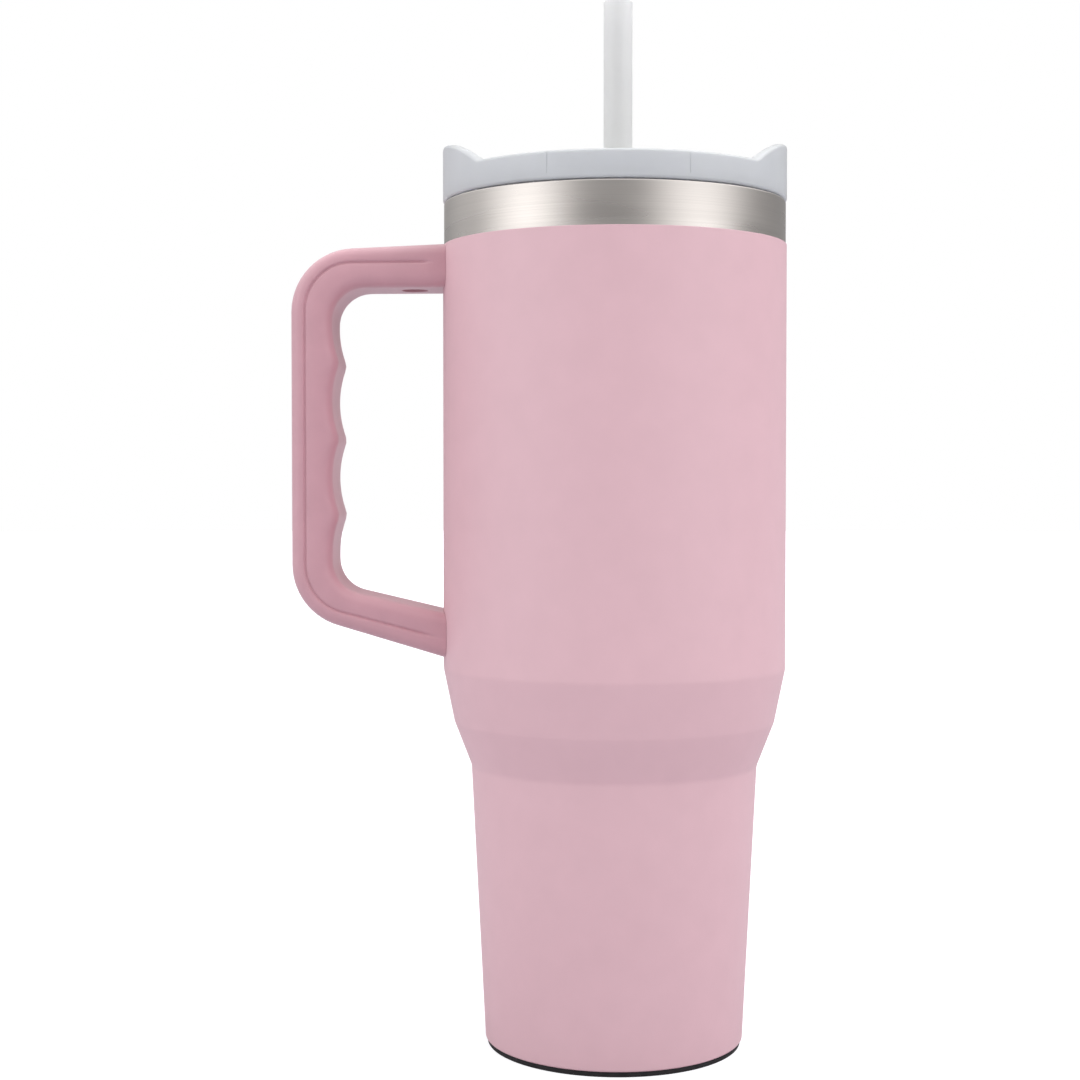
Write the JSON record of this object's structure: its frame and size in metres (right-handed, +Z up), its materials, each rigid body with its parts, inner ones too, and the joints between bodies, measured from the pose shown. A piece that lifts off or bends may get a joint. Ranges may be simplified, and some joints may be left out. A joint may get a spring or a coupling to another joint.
{
  "type": "insulated tumbler with lid",
  "caption": "Tall double-walled steel tumbler that narrows to a cup-holder base, with a moulded side handle, a press-in lid, a sliding drinking cover and a straw.",
  "frame": {"origin": "on the floor under the cup's axis, at the middle of the base pad", "axes": "+Z up along the cup's axis, -X towards the handle, -Y towards the drinking side of the lid"},
  "size_m": [0.1405, 0.098, 0.2982],
  "materials": {
    "coat_pink": "fine-textured powder coat",
    "handle_pink": "satin moulded",
    "core_pink": "moulded",
    "steel": "brushed round",
    "copper_foil": "bright foil",
    "sealing_glass": "fused",
    "getter_metal": "sintered",
    "black_rubber": "matt",
    "white_silicone": "satin",
    "lid_plastic": "cloudy, satin",
    "slider_plastic": "cloudy, satin",
    "straw_plastic": "cloudy, smooth"
  },
  "bodies": {
    "tumbler": {"powder_coat": "coat_pink", "outer_wall": "steel", "inner_liner": "steel", "reflective_foil": "copper_foil", "outer_base": "steel", "vacuum_seal": "sealing_glass", "getter_pellet": "getter_metal", "base_cover": "steel", "base_pad": "black_rubber", "handle_cover": "handle_pink", "handle_core": "core_pink", "upper_bracket": "steel", "lower_bracket": "steel", "upper_screw": "steel", "lower_screw": "steel"},
    "lid_ring": {"lid_seal": "white_silicone"},
    "lid": {"lid_body": "lid_plastic", "straw_seal": "white_silicone"},
    "lid_slider": {"slider": "slider_plastic", "slider_seal": "white_silicone"},
    "drinking_straw": {"straw": "straw_plastic"}
  },
  "joints": [
    {"name": "lid_lift", "type": "slide", "parent": "tumbler", "child": "lid_ring", "axis": [0, 0, 1], "range_m": [0, 0.24]},
    {"name": "lid_turn", "type": "hinge", "parent": "lid_ring", "child": "lid", "pos_m": [0, 0, 0.24], "axis": [0, 0, 1], "continuous": true},
    {"name": "sip_slide", "type": "slide", "parent": "lid", "child": "lid_slider", "axis": [0, 1, 0], "range_m": [0, 0.016]},
    {"name": "straw_slide", "type": "slide", "parent": "lid", "child": "drinking_straw", "axis": [0, 0, 1], "range_m": [0, 0.24]}
  ]
}
